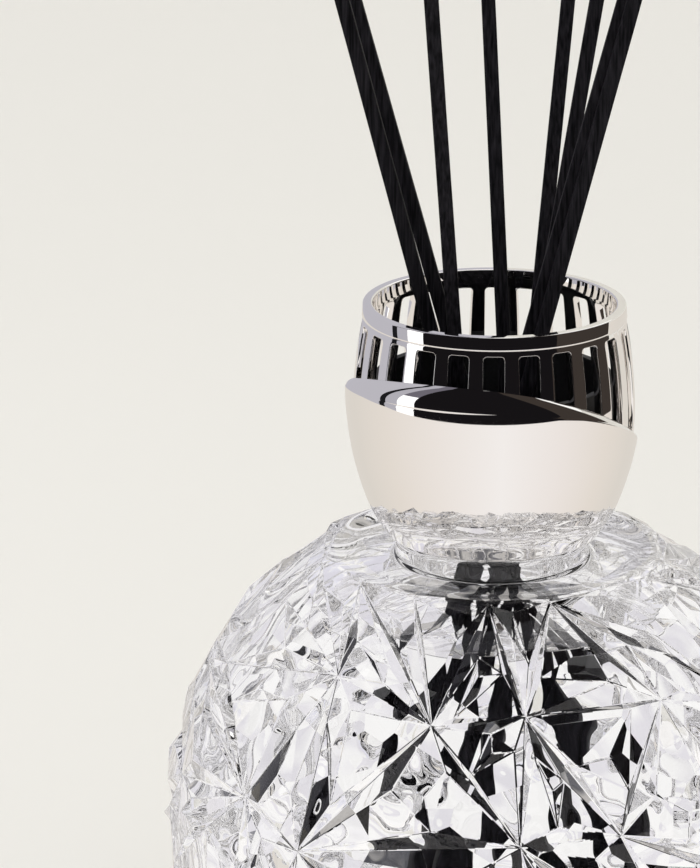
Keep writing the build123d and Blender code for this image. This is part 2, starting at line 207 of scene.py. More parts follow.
def mesh_from(name, points, faces):
    """Closed mesh object from points in millimetres, with its faces turned outwards."""
    mesh = bpy.data.meshes.new(name)
    mesh.from_pydata([(x * MM, y * MM, z * MM) for x, y, z in points], [], faces)
    mesh.validate()
    work = bmesh.new()
    work.from_mesh(mesh)
    bmesh.ops.recalc_face_normals(work, faces=work.faces)
    work.to_mesh(mesh)
    work.free()
    return new_object(name, mesh)


def around(radius, azimuth, height):
    """Point from a radius, an azimuth and a height."""
    a = radians(azimuth)
    return (radius * sin(a), -radius * cos(a), height)


def curve_through(points, steps):
    """Points on a smooth curve through (radius, height) points, steps between each pair."""
    padded = [
        (2 * points[0][0] - points[1][0], 2 * points[0][1] - points[1][1]),
        *points,
        (2 * points[-1][0] - points[-2][0], 2 * points[-1][1] - points[-2][1]),
    ]
    result = []
    for before, start, end, after in zip(padded, padded[1:], padded[2:], padded[3:]):
        for step in range(steps):
            t = step / steps
            result.append(tuple(
                0.5 * (2 * s + (e - b) * t + (2 * b - 5 * s + 4 * e - a) * t**2
                       + (3 * s - b - 3 * e + a) * t**3)
                for b, s, e, a in zip(before, start, end, after)
            ))
    result.append(points[-1])
    return result


def radius_at(curve, height):
    """Radius of a rising curve at a height, between its points."""
    for (r0, h0), (r1, h1) in zip(curve, curve[1:]):
        if h0 <= height <= h1:
            return r0 + (r1 - r0) * (height - h0) / (h1 - h0)
    return curve[-1][0] if height > curve[-1][1] else curve[0][0]


def stretch(curve, low, high, steps):
    """Evenly spaced points of a rising curve between two heights."""
    return [(radius_at(curve, low + (high - low) * k / steps), low + (high - low) * k / steps)
            for k in range(steps + 1)]


def arc_points(centre, radius, start, end, steps):
    """Points on an arc in the (radius, height) plane, angles in degrees from outwards, up positive."""
    return [
        (centre[0] + radius * cos(radians(start + (end - start) * k / steps)),
         centre[1] + radius * sin(radians(start + (end - start) * k / steps)))
        for k in range(steps + 1)
    ]


def rounded(corner, before, after, radius, steps=5):
    """Points that round a corner between two neighbouring points."""
    c, b, a = Vector(corner), Vector(before), Vector(after)
    back, ahead = (b - c).normalized(), (a - c).normalized()
    half = back.angle(ahead) / 2
    reach = min(radius / tan(half), 0.45 * (b - c).length, 0.45 * (a - c).length)
    start, end = c + back * reach, c + ahead * reach
    result = []
    for k in range(steps + 1):
        t = k / steps
        result.append(tuple((1 - t)**2 * start + 2 * t * (1 - t) * c + t**2 * end))
    return result


def welded(spots, point):
    """Number of a point in a mesh that keeps each point once; spots holds the numbers so far."""
    return spots.setdefault(tuple(round(c, 4) for c in point), len(spots))


def bridge(rings):
    """Quads between each closed ring of point numbers and the next."""
    return [
        (ring[k], ring[(k + 1) % len(ring)], following[(k + 1) % len(ring)], following[k])
        for ring, following in zip(rings, rings[1:]) for k in range(len(ring))
    ]


def lathe(name, outline, columns):
    """Turned mesh of an outline that starts and ends on the axis."""
    points = []
    rings = []
    for r, z in outline:
        if r < 1e-6:
            rings.append([len(points)] * columns)
            points.append((0, 0, z))
        else:
            rings.append(list(range(len(points), len(points) + columns)))
            points += [around(r, 360 * c / columns, z) for c in range(columns)]
    faces = []
    for quad in bridge(rings):
        face = [v for k, v in enumerate(quad) if v != quad[k - 1]]
        if len(face) >= 3:
            faces.append(face)
    return mesh_from(name, points, faces)


def smooth(obj, angle):
    """Smooth shading with sharp edges above an angle."""
    obj.data.shade_smooth()
    obj.data.set_sharp_from_angle(angle=radians(angle))


def apply_modifiers(obj):
    depsgraph = bpy.context.evaluated_depsgraph_get()
    mesh = bpy.data.meshes.new_from_object(obj.evaluated_get(depsgraph))
    obj.modifiers.clear()
    obj.data = mesh


# ---------------------------------------------------------------- cut pattern

# Each feature of a node or cell makes its own draw. Those beside a groove are
# numbered from these, one for each of the cell's three sides.
DRAW_UP, DRAW_ROUND, DRAW_DEPTH, DRAW_FLIP, DRAW_PEAK_DIP = 1, 2, 9, 11, 12
DRAW_SHARE, DRAW_SLIDE, DRAW_DIP, DRAW_WEIGHT = 0, 3, 6, 9
DRAW_WOBBLE = 5            # along a reed, one for every two rows of each corner
SECOND_CELL = 40           # keeps the draws of a pair's two cells apart


def scatter(*keys):
    """Even-handed number from -1 to 1 that depends only on the keys."""
    mixed = sin(sum(weight * key for weight, key in zip((12.99, 78.23, 37.72), keys)) + 0.5) * 4375.85
    return 2 * (mixed - floor(mixed)) - 1


def on_ball(radius, latitude, azimuth):
    level = radius * cos(radians(latitude))
    x, y, _ = around(level, azimuth, 0)
    return Vector((x, y, BALL_Z + radius * sin(radians(latitude))))


def star_node(ring, place):
    """Star node, below the ball's surface, where the grooves meet."""
    place = place % NODES_PER_RING
    lat_step = 2 * TOP_NODE_LAT / (NODE_RINGS - 1)
    az_step = 360 / NODES_PER_RING
    outermost = ring in (0, NODE_RINGS - 1)
    sway_up = 0 if outermost else scatter(ring, place, DRAW_UP) * NODE_SWAY
    sway_round = scatter(ring, place, DRAW_ROUND) * NODE_SWAY
    latitude = TOP_NODE_LAT - lat_step * (ring + sway_up)
    azimuth = az_step * (place + 0.5 * (ring % 2) + sway_round)
    uneven = 1 + DEPTH_SPREAD * scatter(ring, place, DRAW_DEPTH)
    depth = END_DEPTH if outermost else NODE_DEPTH * uneven
    return on_ball(BALL_R - depth, latitude, azimuth)


def at_depth(point, depth):
    """The point moved in or out to a depth below the ball's surface."""
    middle = Vector((0, 0, BALL_Z))
    arm = point - middle
    return middle + arm * ((BALL_R - depth) / arm.length)


def flank_corner(start, end, middle, keys, side):
    """Corner that the facets beside one groove share, at an uneven place and depth."""
    low, high = GROOVE_SHARE
    share = low + (high - low) * (0.5 + 0.5 * scatter(*keys, DRAW_SHARE + side))
    along = 0.5 + SHOULDER_SLIDE * scatter(*keys, DRAW_SLIDE + side)
    foot = start + (end - start) * along
    dip = SHOULDER_DIP * (0.5 + 0.5 * scatter(*keys, DRAW_DIP + side))
    return at_depth(foot + (middle - foot) * share, dip)


def cell_peak(shoulders, keys):
    """Point inside a cell that its inner facets share."""
    weights = [1 + PEAK_SLIDE * scatter(*keys, DRAW_WEIGHT + side) for side in range(3)]
    weighted = shoulders[0] * weights[0] + shoulders[1] * weights[1] + shoulders[2] * weights[2]
    return at_depth(weighted / sum(weights), PEAK_DIP * (0.5 + 0.5 * scatter(*keys, DRAW_PEAK_DIP)))


def cell_faces(corners, keys):
    """Triangles of one cell: groove flanks, facets that run to its corners, and inner facets."""
    middle = (corners[0] + corners[1] + corners[2]) / 3
    sides = [(corners[side], corners[(side + 1) % 3]) for side in range(3)]
    shoulders = [flank_corner(start, end, middle, keys, side) for side, (start, end) in enumerate(sides)]
    peak = cell_peak(shoulders, keys)
    faces = []
    for side, (start, end) in enumerate(sides):
        following = shoulders[(side + 1) % 3]
        faces.append((shoulders[side], following, peak))
        faces.append((start, end, shoulders[side]))
        faces.append((end, following, shoulders[side]))
    return faces


def ring_cells(ring, place):
    """Triangles of the two cells between a node, its right neighbour and the ring below."""
    odd = ring % 2
    here = star_node(ring, place)
    right = star_node(ring, place + 1)
    below = star_node(ring + 1, place + odd)
    below_right = star_node(ring + 1, place + 1 + odd)
    if scatter(ring, place, DRAW_FLIP) > FLIP_ABOVE:
        cells = ((here, below, below_right), (here, below_right, right))
    else:
        cells = ((here, below, right), (right, below, below_right))
    return cell_faces(cells[0], (ring, place)) + cell_faces(cells[1], (ring, place + SECOND_CELL))


def top_cap(place):
    """Part of the cone over the top ring, with the sleeve that it turns into round the neck."""
    left, right = star_node(0, place), star_node(0, place + 1)
    peak = Vector((0, 0, BALL_Z + CAP_Z))
    low_l, low_r = peak.lerp(left, SLEEVE_SHARE), peak.lerp(right, SLEEVE_SHARE)
    top_z = NECK_TOP_Z + SLEEVE_OVER
    top_l, top_r = Vector((low_l.x, low_l.y, top_z)), Vector((low_r.x, low_r.y, top_z))
    return [
        (left, right, low_r), (left, low_r, low_l),
        (low_l, low_r, top_r), (low_l, top_r, top_l), (top_l, top_r, Vector((0, 0, top_z))),
    ]


def base_cap(place):
    """Part of the cone under the last ring."""
    last = NODE_RINGS - 1
    return [(star_node(last, place), star_node(last, place + 1), Vector((0, 0, BALL_Z - BASE_CAP_Z)))]


def pattern_solid():
    """Closed mesh of the cut pattern."""
    triangles = []
    for ring in range(NODE_RINGS - 1):
        for place in range(NODES_PER_RING):
            triangles += ring_cells(ring, place)
    for cap in (top_cap, base_cap):
        for place in range(NODES_PER_RING):
            triangles += cap(place)
    spots = {}
    faces = [[welded(spots, corner) for corner in triangle] for triangle in triangles]
    obj = mesh_from("pattern", list(spots), [face for face in faces if len(set(face)) == 3])
    bevel = obj.modifiers.new("edges", "BEVEL")
    bevel.width = EDGE_WIDTH * MM
    bevel.segments = 2
    bevel.limit_method = "ANGLE"
    bevel.angle_limit = radians(4)
    bevel.use_clamp_overlap = True
    apply_modifiers(obj)
    return obj


# ---------------------------------------------------------------- bottle


def chamber_fillet():
    """Radius at the middle of the chamber's lower fillet, and the angle at which it meets the wall."""
    rise = CHAMBER_FLOOR_Z + CHAMBER_FILLET - CHAMBER_Z
    radius = sqrt((CHAMBER_R - CHAMBER_FILLET)**2 - rise**2)
    return radius, degrees(atan2(rise, radius))


def foot_meets_ball():
    """Radius and height where the foot's sloping bevel meets the ball."""
    bevel_end = sqrt(SMOOTH_R**2 - BALL_Z**2) + 2 * FOOT_BEVEL + EDGE
    rise = FOOT_BEVEL / (bevel_end - FOOT_R)
    step = 0.02
    radius = FOOT_R
    while hypot(radius, rise * (radius - FOOT_R) - BALL_Z) < SMOOTH_R:
        radius += step
    return radius, rise * (radius - FOOT_R)


def bottle_outline():
    """Outline of the bottle: foot, ball, shoulder, neck, lip, bore, chamber."""
    foot_r, foot_z = foot_meets_ball()
    shoulder_rise = sqrt(SMOOTH_R**2 - SHOULDER_END_R**2)
    start = degrees(atan2(foot_z - BALL_Z, foot_r))
    end = degrees(atan2(shoulder_rise, SHOULDER_END_R))
    base = [(0, PUNT_DEPTH), (PUNT_R - 3 * PUNT_DEPTH, PUNT_DEPTH), (PUNT_R, 0), (FOOT_R, 0)]
    ball = arc_points((0, BALL_Z), SMOOTH_R, start, end, 90)
    dish = curve_through([
        (SHOULDER_END_R, BALL_Z + shoulder_rise), (SHOULDER_RIM_R, SHOULDER_RIM_Z),
        (0.5 * (RING_R + SHOULDER_RIM_R), SHOULDER_Z + DISH_MID_RISE),
        (RING_R + EDGE, SHOULDER_Z + DISH_END_RISE),
    ], 16)
    root = arc_points((RING_R + EDGE, SHOULDER_Z + EDGE), EDGE, 270, 180, 6)
    ring_top = arc_points((RING_R - EDGE, RING_TOP_Z - EDGE), EDGE, 0, 90, 8)
    neck_root = arc_points((NECK_R + NECK_ROOT, RING_TOP_Z + NECK_ROOT), NECK_ROOT, 270, 180, 4)
    lip = arc_points((NECK_R - EDGE, NECK_TOP_Z - EDGE), EDGE, 0, 90, 8)
    flare = arc_points((BORE_R + BORE_FLARE, NECK_TOP_Z - BORE_FLARE), BORE_FLARE, 90, 180, 6)
    floor_r, fillet_end = chamber_fillet()
    bore_end = degrees(atan2(sqrt(CHAMBER_R**2 - BORE_R**2), BORE_R))
    fill_angle = degrees(asin((FILL_Z + MENISCUS - CHAMBER_Z) / CHAMBER_R))
    dry = arc_points((0, CHAMBER_Z), CHAMBER_R, bore_end, fill_angle, 24)
    wetted = arc_points((0, CHAMBER_Z), CHAMBER_R, fill_angle, fillet_end, 110)
    fillet = arc_points((floor_r, CHAMBER_FLOOR_Z + CHAMBER_FILLET), CHAMBER_FILLET, fillet_end, -90, 14)
    return [*base, *ball, *dish[1:], *root[1:], *ring_top, *neck_root, *lip, *flare,
            *dry, *wetted[1:], *fillet[1:], (0, CHAMBER_FLOOR_Z)]


def mark_faces(mesh, cut_slot):
    """Flat facets, smooth turned faces, sharp edges between them, and the materials' numbers."""
    sharp_angle = radians(30)
    centre = Vector((0, 0, CHAMBER_Z * MM))
    chamber_reach = (CHAMBER_R + 0.1) * MM
    work = bmesh.new()
    work.from_mesh(mesh)
    for face in work.faces:
        face.smooth = face.material_index != cut_slot
    for edge in work.edges:
        kinds = {face.material_index == cut_slot for face in edge.link_faces}
        edge.smooth = len(kinds) == 1 and edge.calc_face_angle(0) <= sharp_angle
    for face in work.faces:
        middle = face.calc_center_median()
        inside = (middle - centre).length < chamber_reach
        domed = face.material_index == cut_slot and middle.z < DOMED_BELOW_Z * MM
        wet = inside and middle.z < (FILL_Z + MENISCUS) * MM
        face.material_index = WET if wet else CUT if domed else CLEAR
    work.to_mesh(mesh)
    work.free()


def make_bottle():
    """Cut-glass ball: the turned blank, cut back to the pattern."""
    bottle = lathe("bottle_glass", bottle_outline(), BOTTLE_COLUMNS)
    cutter = pattern_solid()
    bottle.data.materials.append(bpy.data.materials.new("turned"))
    cutter.data.materials.append(bpy.data.materials.new("cut"))
    boolean = bottle.modifiers.new("cut", "BOOLEAN")
    boolean.operation = "INTERSECT"
    boolean.solver = "MANIFOLD"
    boolean.object = cutter
    boolean.material_mode = "TRANSFER"
    apply_modifiers(bottle)
    bpy.data.objects.remove(cutter)
    names = [material.name if material else "" for material in bottle.data.materials]
    mark_faces(bottle.data, next(k for k, name in enumerate(names) if name.startswith("cut")))
    return bottle


# ---------------------------------------------------------------- crown

BOWL_CURVE = curve_through(BOWL_OUTSIDE, 40)
GALLERY_CURVE = curve_through(GALLERY_OUTSIDE, 40)


def lip_height(azimuth):
    return LIP_MEAN + sum(
        swing * cos(radians(turns * (azimuth - peak))) for swing, turns, peak in LIP_WAVES
    )


def ledge_top(azimuth):
    swell = (0.5 + 0.5 * cos(radians(azimuth - LEDGE_AZIMUTH)))**LEDGE_POWER
    return lip_height(azimuth) + LEDGE_MIN + LEDGE_SWELL * swell


def bulging(start, end):
    """Points between two, on a line that bulges upwards and outwards."""
    start, end = Vector(start), Vector(end)
    rise = (end - start).orthogonal() * LEDGE_BULGE
    if rise.x < 0:
        rise = -rise
    shares = [k / LEDGE_STEPS for k in range(1, LEDGE_STEPS)]
    return [tuple(start.lerp(end, t) + rise * 4 * t * (1 - t)) for t in shares]


def bowl_section(azimuth):
    """Closed section of the bowl at an azimuth: floor ring, outside, lip, ledge, inside."""
    lip, top = lip_height(azimuth), ledge_top(azimuth)
    foot_r = BOWL_OUTSIDE[0][0]
    up_the_wall = BOWL_CURVE[30]
    foot = rounded((foot_r, 0), (BOWL_HOLE_R, 0), up_the_wall, BOWL_FOOT_ROUND)
    outside = stretch(BOWL_CURVE, BOWL_SIDE_FROM, lip - LIP_MARGIN, 60)
    crest = (radius_at(BOWL_CURVE, lip), lip)
    meet = (radius_at(GALLERY_CURVE, top) + GALLERY_GAP, top)
    crest_round = rounded(crest, outside[-2], meet, LIP_ROUND, 6)
    ledge = bulging(crest_round[-1], meet)
    inside = [(r + GALLERY_GAP, h) for r, h in stretch(GALLERY_CURVE, SEAT_H, top - LEDGE_T, 40)]
    below_seat = curve_through([
        (foot_r - BOWL_WALL, BOWL_FLOOR_T),
        (BOWL_OUTSIDE[1][0] - BOWL_WALL, BOWL_OUTSIDE[1][1]),
        (GALLERY_OUTSIDE[0][0] - SEAT_STEP, SEAT_H),
    ], 8)
    return [(BOWL_HOLE_R, 0.0), *foot, *outside, *crest_round, *ledge, meet, *inside[::-1],
            *below_seat[::-1], (BOWL_HOLE_R, BOWL_FLOOR_T)]


def make_bowl():
    """Outer bowl: its section swept round, changing with azimuth."""
    sections = [bowl_section(360 * c / CROWN_COLUMNS) for c in range(CROWN_COLUMNS)]
    count = len(sections[0])
    points = [around(r, 360 * c / CROWN_COLUMNS, CROWN_Z + h)
              for c, section in enumerate(sections) for r, h in section]
    faces = []
    for c in range(CROWN_COLUMNS):
        d = (c + 1) % CROWN_COLUMNS
        for k in range(count):
            m = (k + 1) % count
            faces.append((c * count + k, d * count + k, d * count + m, c * count + m))
    bowl = mesh_from("crown_bowl_plated", points, faces)
    smooth(bowl, 40)
    return bowl


def window_side(steps, start_angle, centre_a, centre_b, corner):
    """Points of one side of a window: half a corner, the straight, and half the next corner."""
    mid_angle = radians(start_angle + 45)
    reach = (corner * cos(mid_angle), corner * sin(mid_angle))
    first = (centre_a[0] + reach[0], centre_a[1] + reach[1])
    last = (centre_b[0] + reach[0], centre_b[1] + reach[1])
    result = []
    for k in range(BEND_STEPS):
        angle = radians(start_angle + 45 * k / BEND_STEPS)
        result.append((centre_a[0] + corner * cos(angle), centre_a[1] + corner * sin(angle)))
    straight = steps - 2 * BEND_STEPS
    for k in range(straight):
        t = k / straight
        result.append((first[0] + (last[0] - first[0]) * t, first[1] + (last[1] - first[1]) * t))
    for k in range(BEND_STEPS):
        angle = radians(start_angle + 45 + 45 * k / BEND_STEPS)
        result.append((centre_b[0] + corner * cos(angle), centre_b[1] + corner * sin(angle)))
    return result


def window_loop(grow):
    """Points round a window with rounded corners, from its lower left corner, as (azimuth, height)."""
    corner = WINDOW_CORNER + grow
    flat_w = WINDOW_W / 2 + grow - corner
    flat_h = (WINDOW_HIGH - WINDOW_LOW) / 2 + grow - corner
    middle = 0.5 * (WINDOW_HIGH + WINDOW_LOW)
    low_l, low_r = (-flat_w, -flat_h), (flat_w, -flat_h)
    high_r, high_l = (flat_w, flat_h), (-flat_w, flat_h)
    loop = window_side(WINDOW_COLUMNS, 225, low_l, low_r, corner)
    loop += window_side(WINDOW_ROWS, 315, low_r, high_r, corner)
    loop += window_side(WINDOW_COLUMNS, 45, high_r, high_l, corner)
    loop += window_side(WINDOW_ROWS, 135, high_l, low_l, corner)
    return [(degrees(asin(x / radius_at(GALLERY_CURVE, middle + y))), middle + y) for x, y in loop]


def bay_loop():
    """Points round one window's bay, matching window_loop, as (azimuth, height)."""
    half = 180 / WINDOWS
    low, high = SEAT_H, GALLERY_OUTSIDE[-1][1]
    loop = [(-half + 2 * half * k / WINDOW_COLUMNS, low) for k in range(WINDOW_COLUMNS)]
    loop += [(half, low + (high - low) * k / WINDOW_ROWS) for k in range(WINDOW_ROWS)]
    loop += [(half - 2 * half * k / WINDOW_COLUMNS, high) for k in range(WINDOW_COLUMNS)]
    loop += [(-half, high - (high - low) * k / WINDOW_ROWS) for k in range(WINDOW_ROWS)]
    return loop


def bay_faces(spots, turn):
    """Quads of one bay: from its border to its window on both faces, and through the wall."""

    def ring_of(loop, depth):
        return [welded(spots, around(radius_at(GALLERY_CURVE, h) - depth, turn + a, CROWN_Z + h))
                for a, h in loop]

    def blended(depth):
        rings = []
        for k in range(BAY_STEPS + 1):
            t = k / BAY_STEPS
            rings.append(ring_of([
                (oa + (ia - oa) * t, oh + (ih - oh) * t)
                for (oa, oh), (ia, ih) in zip(bay_loop(), window_loop(WINDOW_EDGE))
            ], depth))
        return rings

    def edge_ring(bend, inner):
        sunk = WINDOW_EDGE * (1 - cos(bend))
        return ring_of(window_loop(WINDOW_EDGE * (1 - sin(bend))), GALLERY_WALL - sunk if inner else sunk)

    bends = [radians(90 * k / BEND_STEPS) for k in range(1, BEND_STEPS + 1)]
    outside, inside = blended(0.0), blended(GALLERY_WALL)
    edge_out = [edge_ring(bend, False) for bend in bends]
    edge_in = [edge_ring(bend, True) for bend in bends[::-1]]
    return bridge([*outside, *edge_out, *edge_in, *inside[::-1]])


def band_section():
    """Section of the plain band above the windows."""
    top_r, top_h = GALLERY_OUTSIDE[-1]
    band_r = top_r + BAND_PROUD
    mouth_r = top_r - GALLERY_WALL
    section = [(top_r, top_h)]
    section += arc_points((band_r - BAND_ROUND, top_h + 0.36), BAND_ROUND, -70, 4, 6)
    section += arc_points((band_r - 0.45, CROWN_H - BAND_ROUND), BAND_ROUND, 8, 90, 7)
    section += arc_points((mouth_r + BAND_ROUND, CROWN_H - BAND_ROUND), BAND_ROUND, 90, 180, 6)
    section += [(mouth_r, 0.5 * (top_h + CROWN_H)), (mouth_r, top_h)]
    return section


def make_gallery():
    """Slotted sleeve: a bay round each window, the band above and the rim below."""
    spots = {}
    faces = []
    for bay in range(WINDOWS):
        faces += bay_faces(spots, 360 * bay / WINDOWS)
    columns = WINDOWS * WINDOW_COLUMNS
    first = -180 / WINDOWS
    outer_r, low = GALLERY_OUTSIDE[0]
    for section in (band_section(), [(outer_r, low), (outer_r - GALLERY_WALL, low)]):
        faces += bridge([
            [welded(spots, around(r, first + 360 * c / columns, CROWN_Z + h)) for c in range(columns)]
            for r, h in section
        ])
    gallery = mesh_from("crown_gallery_plated", list(spots), faces)
    smooth(gallery, 50)
    return gallery


# ---------------------------------------------------------------- fragrance and reeds


def make_fragrance():
    """Liquid: it reaches a little into the glass, so light passes from one to the other."""
    radius = CHAMBER_R + SOAK
    floor_r, fillet_end = chamber_fillet()
    fill_angle = degrees(asin((FILL_Z + MENISCUS - CHAMBER_Z) / radius))
    wall = arc_points((0, CHAMBER_Z), radius, fillet_end, fill_angle, 110)
    corner = arc_points((floor_r, CHAMBER_FLOOR_Z + CHAMBER_FILLET), CHAMBER_FILLET + SOAK,
                        -90, fillet_end, 12)
    wall_r = wall[-1][0]
    meniscus = [(wall_r - x, FILL_Z + MENISCUS * (1 - x / MENISCUS_W)**2)
                for x in (0.3, 0.8, 1.4, 2.0, MENISCUS_W)]
    outline = [(0, CHAMBER_FLOOR_Z - SOAK), *corner[:-1], *wall, *meniscus, (0, FILL_Z)]
    liquid = lathe("fragrance_liquid", outline, 192)
    smooth(liquid, 35)
    for face in liquid.data.polygons:
        x, y, z = face.center
        on_top = z > (FILL_Z - 0.01) * MM and hypot(x, y) < wall_r * MM and face.normal.z > 0.5
        face.material_index = TOP if on_top else SIDE
    return liquid


def reed_foot(reed):
    """Where a reed stands in the chamber: its axis is followed down until it nears the glass."""
    (x, y), (lean_x, lean_y) = reed
    margin = REED_SIDE / sqrt(2) + REED_FOOT_GAP
    z = CHAMBER_Z
    step = 0.1
    while z - step > CHAMBER_FLOOR_Z + margin:
        trial = z - step
        reach = hypot(x + lean_x * (trial - THROAT_Z), y + lean_y * (trial - THROAT_Z))
        if reach**2 + (trial - CHAMBER_Z)**2 > (CHAMBER_R - margin - REED_WALL_GAP)**2:
            break
        z = trial
    return Vector((x + lean_x * (z - THROAT_Z), y + lean_y * (z - THROAT_Z), z))


def reed_section():
    """Square with softened corners, as (across, up) from its middle."""
    flat = REED_SIDE / 2 - REED_CORNER
    section = []
    for quarter, (side_u, side_v) in enumerate(((1, 1), (-1, 1), (-1, -1), (1, -1))):
        for k in range(REED_CORNER_POINTS):
            a = radians(90 * quarter + 30 * k)
            section.append((side_u * flat + REED_CORNER * cos(a), side_v * flat + REED_CORNER * sin(a)))
    return section


def make_reed(number, reed):
    """Square willow stick, slightly uneven along its corners."""
    axis = Vector((*reed[1], 1)).normalized()
    across = Vector((0, 1, 0)).cross(axis).normalized()
    other = axis.cross(across)
    foot = reed_foot(reed)
    section = reed_section()
    count = len(section)
    points = []
    for row in range(REED_ROWS + 1):
        along = foot + axis * (REED_LENGTH * (row / REED_ROWS))
        for k, (u, v) in enumerate(section):
            draw = scatter(number * 7 + row // 2, k // REED_CORNER_POINTS, DRAW_WOBBLE)
            wobble = 1 - REED_UNEVEN - REED_UNEVEN * draw
            points.append(tuple(along + (across * u + other * v) * wobble))
    rings = [range(row * count, (row + 1) * count) for row in range(REED_ROWS + 1)]
    faces = [*bridge(rings), tuple(rings[0])[::-1], tuple(rings[-1])]
    stick = mesh_from(f"reed_{number}_willow", points, faces)
    smooth(stick, 50)
    return stick


# ---------------------------------------------------------------- materials


def new_material(name):
    material = bpy.data.materials.new(name)
    material.use_nodes = True
    return material


def add(material, kind, **inputs):
    """New node of a material, with inputs set by name: From_Min sets "From Min"."""
    node = material.node_tree.nodes.new("ShaderNode" + kind)
    for name, value in inputs.items():
        node.inputs[name.replace("_", " ")].default_value = value
    return node


def dress_shader(material, **inputs):
    """Sets a material's own shader's inputs and returns the shader."""
    shader = material.node_tree.nodes["Principled BSDF"]
    for name, value in inputs.items():
        shader.inputs[name.replace("_", " ")].default_value = value
    return shader


def noise(material, scale, detail, stretch_by=None):
    """Noise over the object's own coordinates, stretched along an axis if asked."""
    links = material.node_tree.links
    source = add(material, "TexCoord").outputs["Object"]
    if stretch_by:
        mapping = add(material, "Mapping", Scale=stretch_by)
        links.new(source, mapping.inputs["Vector"])
        source = mapping.outputs["Vector"]
    pattern = add(material, "TexNoise", Scale=scale, Detail=detail)
    links.new(source, pattern.inputs["Vector"])
    return pattern


def tones(material, pattern, low, high):
    """Colour ramp over a pattern; low and high are each a position and a colour."""
    ramp = add(material, "ValToRGB")
    for element, (position, color) in zip(ramp.color_ramp.elements, (low, high)):
        element.position = position
        element.color = (*color, 1)
    material.node_tree.links.new(pattern.outputs["Fac"], ramp.inputs["Fac"])
    return ramp.outputs["Color"]


def clear_material(name, ior, ripple=0.0, dome=0.0, sheen=0.5):
    """Clear glass or liquid. Ripple is the height, in mm, of the slow waves a mould leaves;
    dome is how far, in mm, polishing has rounded the facets' edges below their middles."""
    material = new_material(name)
    links = material.node_tree.links
    shader = dress_shader(material, Base_Color=(1.0, 1.0, 1.0, 1), Roughness=0.0, IOR=ior,
                          Transmission_Weight=1.0, Specular_IOR_Level=sheen)
    normal = None
    if ripple:
        waves = noise(material, RIPPLES_PER_M, 1.0)
        bump = add(material, "Bump", Strength=1.0, Distance=ripple * MM)
        links.new(waves.outputs["Fac"], bump.inputs["Height"])
        normal = bump.outputs["Normal"]
    if dome:
        cells = add(material, "TexVoronoi", Scale=DOMES_PER_M)
        square = add(material, "Math")
        square.operation = "POWER"
        square.inputs[1].default_value = 2.0
        dip = add(material, "Bump", Strength=1.0, Distance=dome * MM)
        dip.invert = True
        links.new(add(material, "TexCoord").outputs["Object"], cells.inputs["Vector"])
        links.new(cells.outputs["Distance"], square.inputs[0])
        links.new(square.outputs[0], dip.inputs["Height"])
        if normal:
            links.new(normal, dip.inputs["Normal"])
        normal = dip.outputs["Normal"]
    if normal:
        links.new(normal, shader.inputs["Normal"])
    return material


def chrome_material():
    """Mirror plating with faint, uneven wear."""
    material = new_material("chrome")
    links = material.node_tree.links
    shader = dress_shader(material, Base_Color=(0.97, 0.955, 0.94, 1), Metallic=1.0)
    wear = noise(material, 260.0, 4.0)
    rough = add(material, "MapRange", From_Min=0.35, From_Max=0.75, To_Min=0.008, To_Max=0.03)
    links.new(wear.outputs["Fac"], rough.inputs["Value"])
    links.new(rough.outputs["Result"], shader.inputs["Roughness"])
    return material


def reed_material():
    """Black-dyed willow with its grain along the stick."""
    material = new_material("reed_black")
    links = material.node_tree.links
    shader = dress_shader(material, Roughness=0.6, Specular_IOR_Level=0.06)
    grain = noise(material, 1.0, 5.0, (2600.0, 2600.0, 90.0))
    color = tones(material, grain, (0.35, (0.003, 0.003, 0.0042)), (0.8, (0.026, 0.024, 0.03)))
    bump = add(material, "Bump", Strength=0.35, Distance=0.2 * MM)
    links.new(color, shader.inputs["Base Color"])
    links.new(grain.outputs["Fac"], bump.inputs["Height"])
    links.new(bump.outputs["Normal"], shader.inputs["Normal"])
    return material


def grained_material(name, dark, light, scale, roughness, transmission=0.0):
    """Moulded plastic or rubber: two close tones and an uneven sheen, over a fine grain."""
    material = new_material(name)
    links = material.node_tree.links
    shader = dress_shader(material, Transmission_Weight=transmission)
    grain = noise(material, scale, 6.0)
    color = tones(material, grain, (0.3, dark), (0.7, light))
    sheen = add(material, "MapRange", To_Min=roughness - 0.08, To_Max=roughness + 0.08)
    bump = add(material, "Bump", Strength=0.3, Distance=0.06 * MM)
    links.new(grain.outputs["Fac"], sheen.inputs["Value"])
    links.new(grain.outputs["Fac"], bump.inputs["Height"])
    links.new(color, shader.inputs["Base Color"])
    links.new(sheen.outputs["Result"], shader.inputs["Roughness"])
    links.new(bump.outputs["Normal"], shader.inputs["Normal"])
    return material


# ---------------------------------------------------------------- assembly


def dress(piece, body, materials, node):
    """Gives a piece its materials, in the order of its faces' numbers, and its place in the part."""
    faces = piece.data.polygons
    numbers = [face.material_index for face in faces]
    piece.data.materials.clear()
    for material in materials:
        piece.data.materials.append(material)
    faces.foreach_set("material_index", numbers)
    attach(piece, body)
    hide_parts(node)


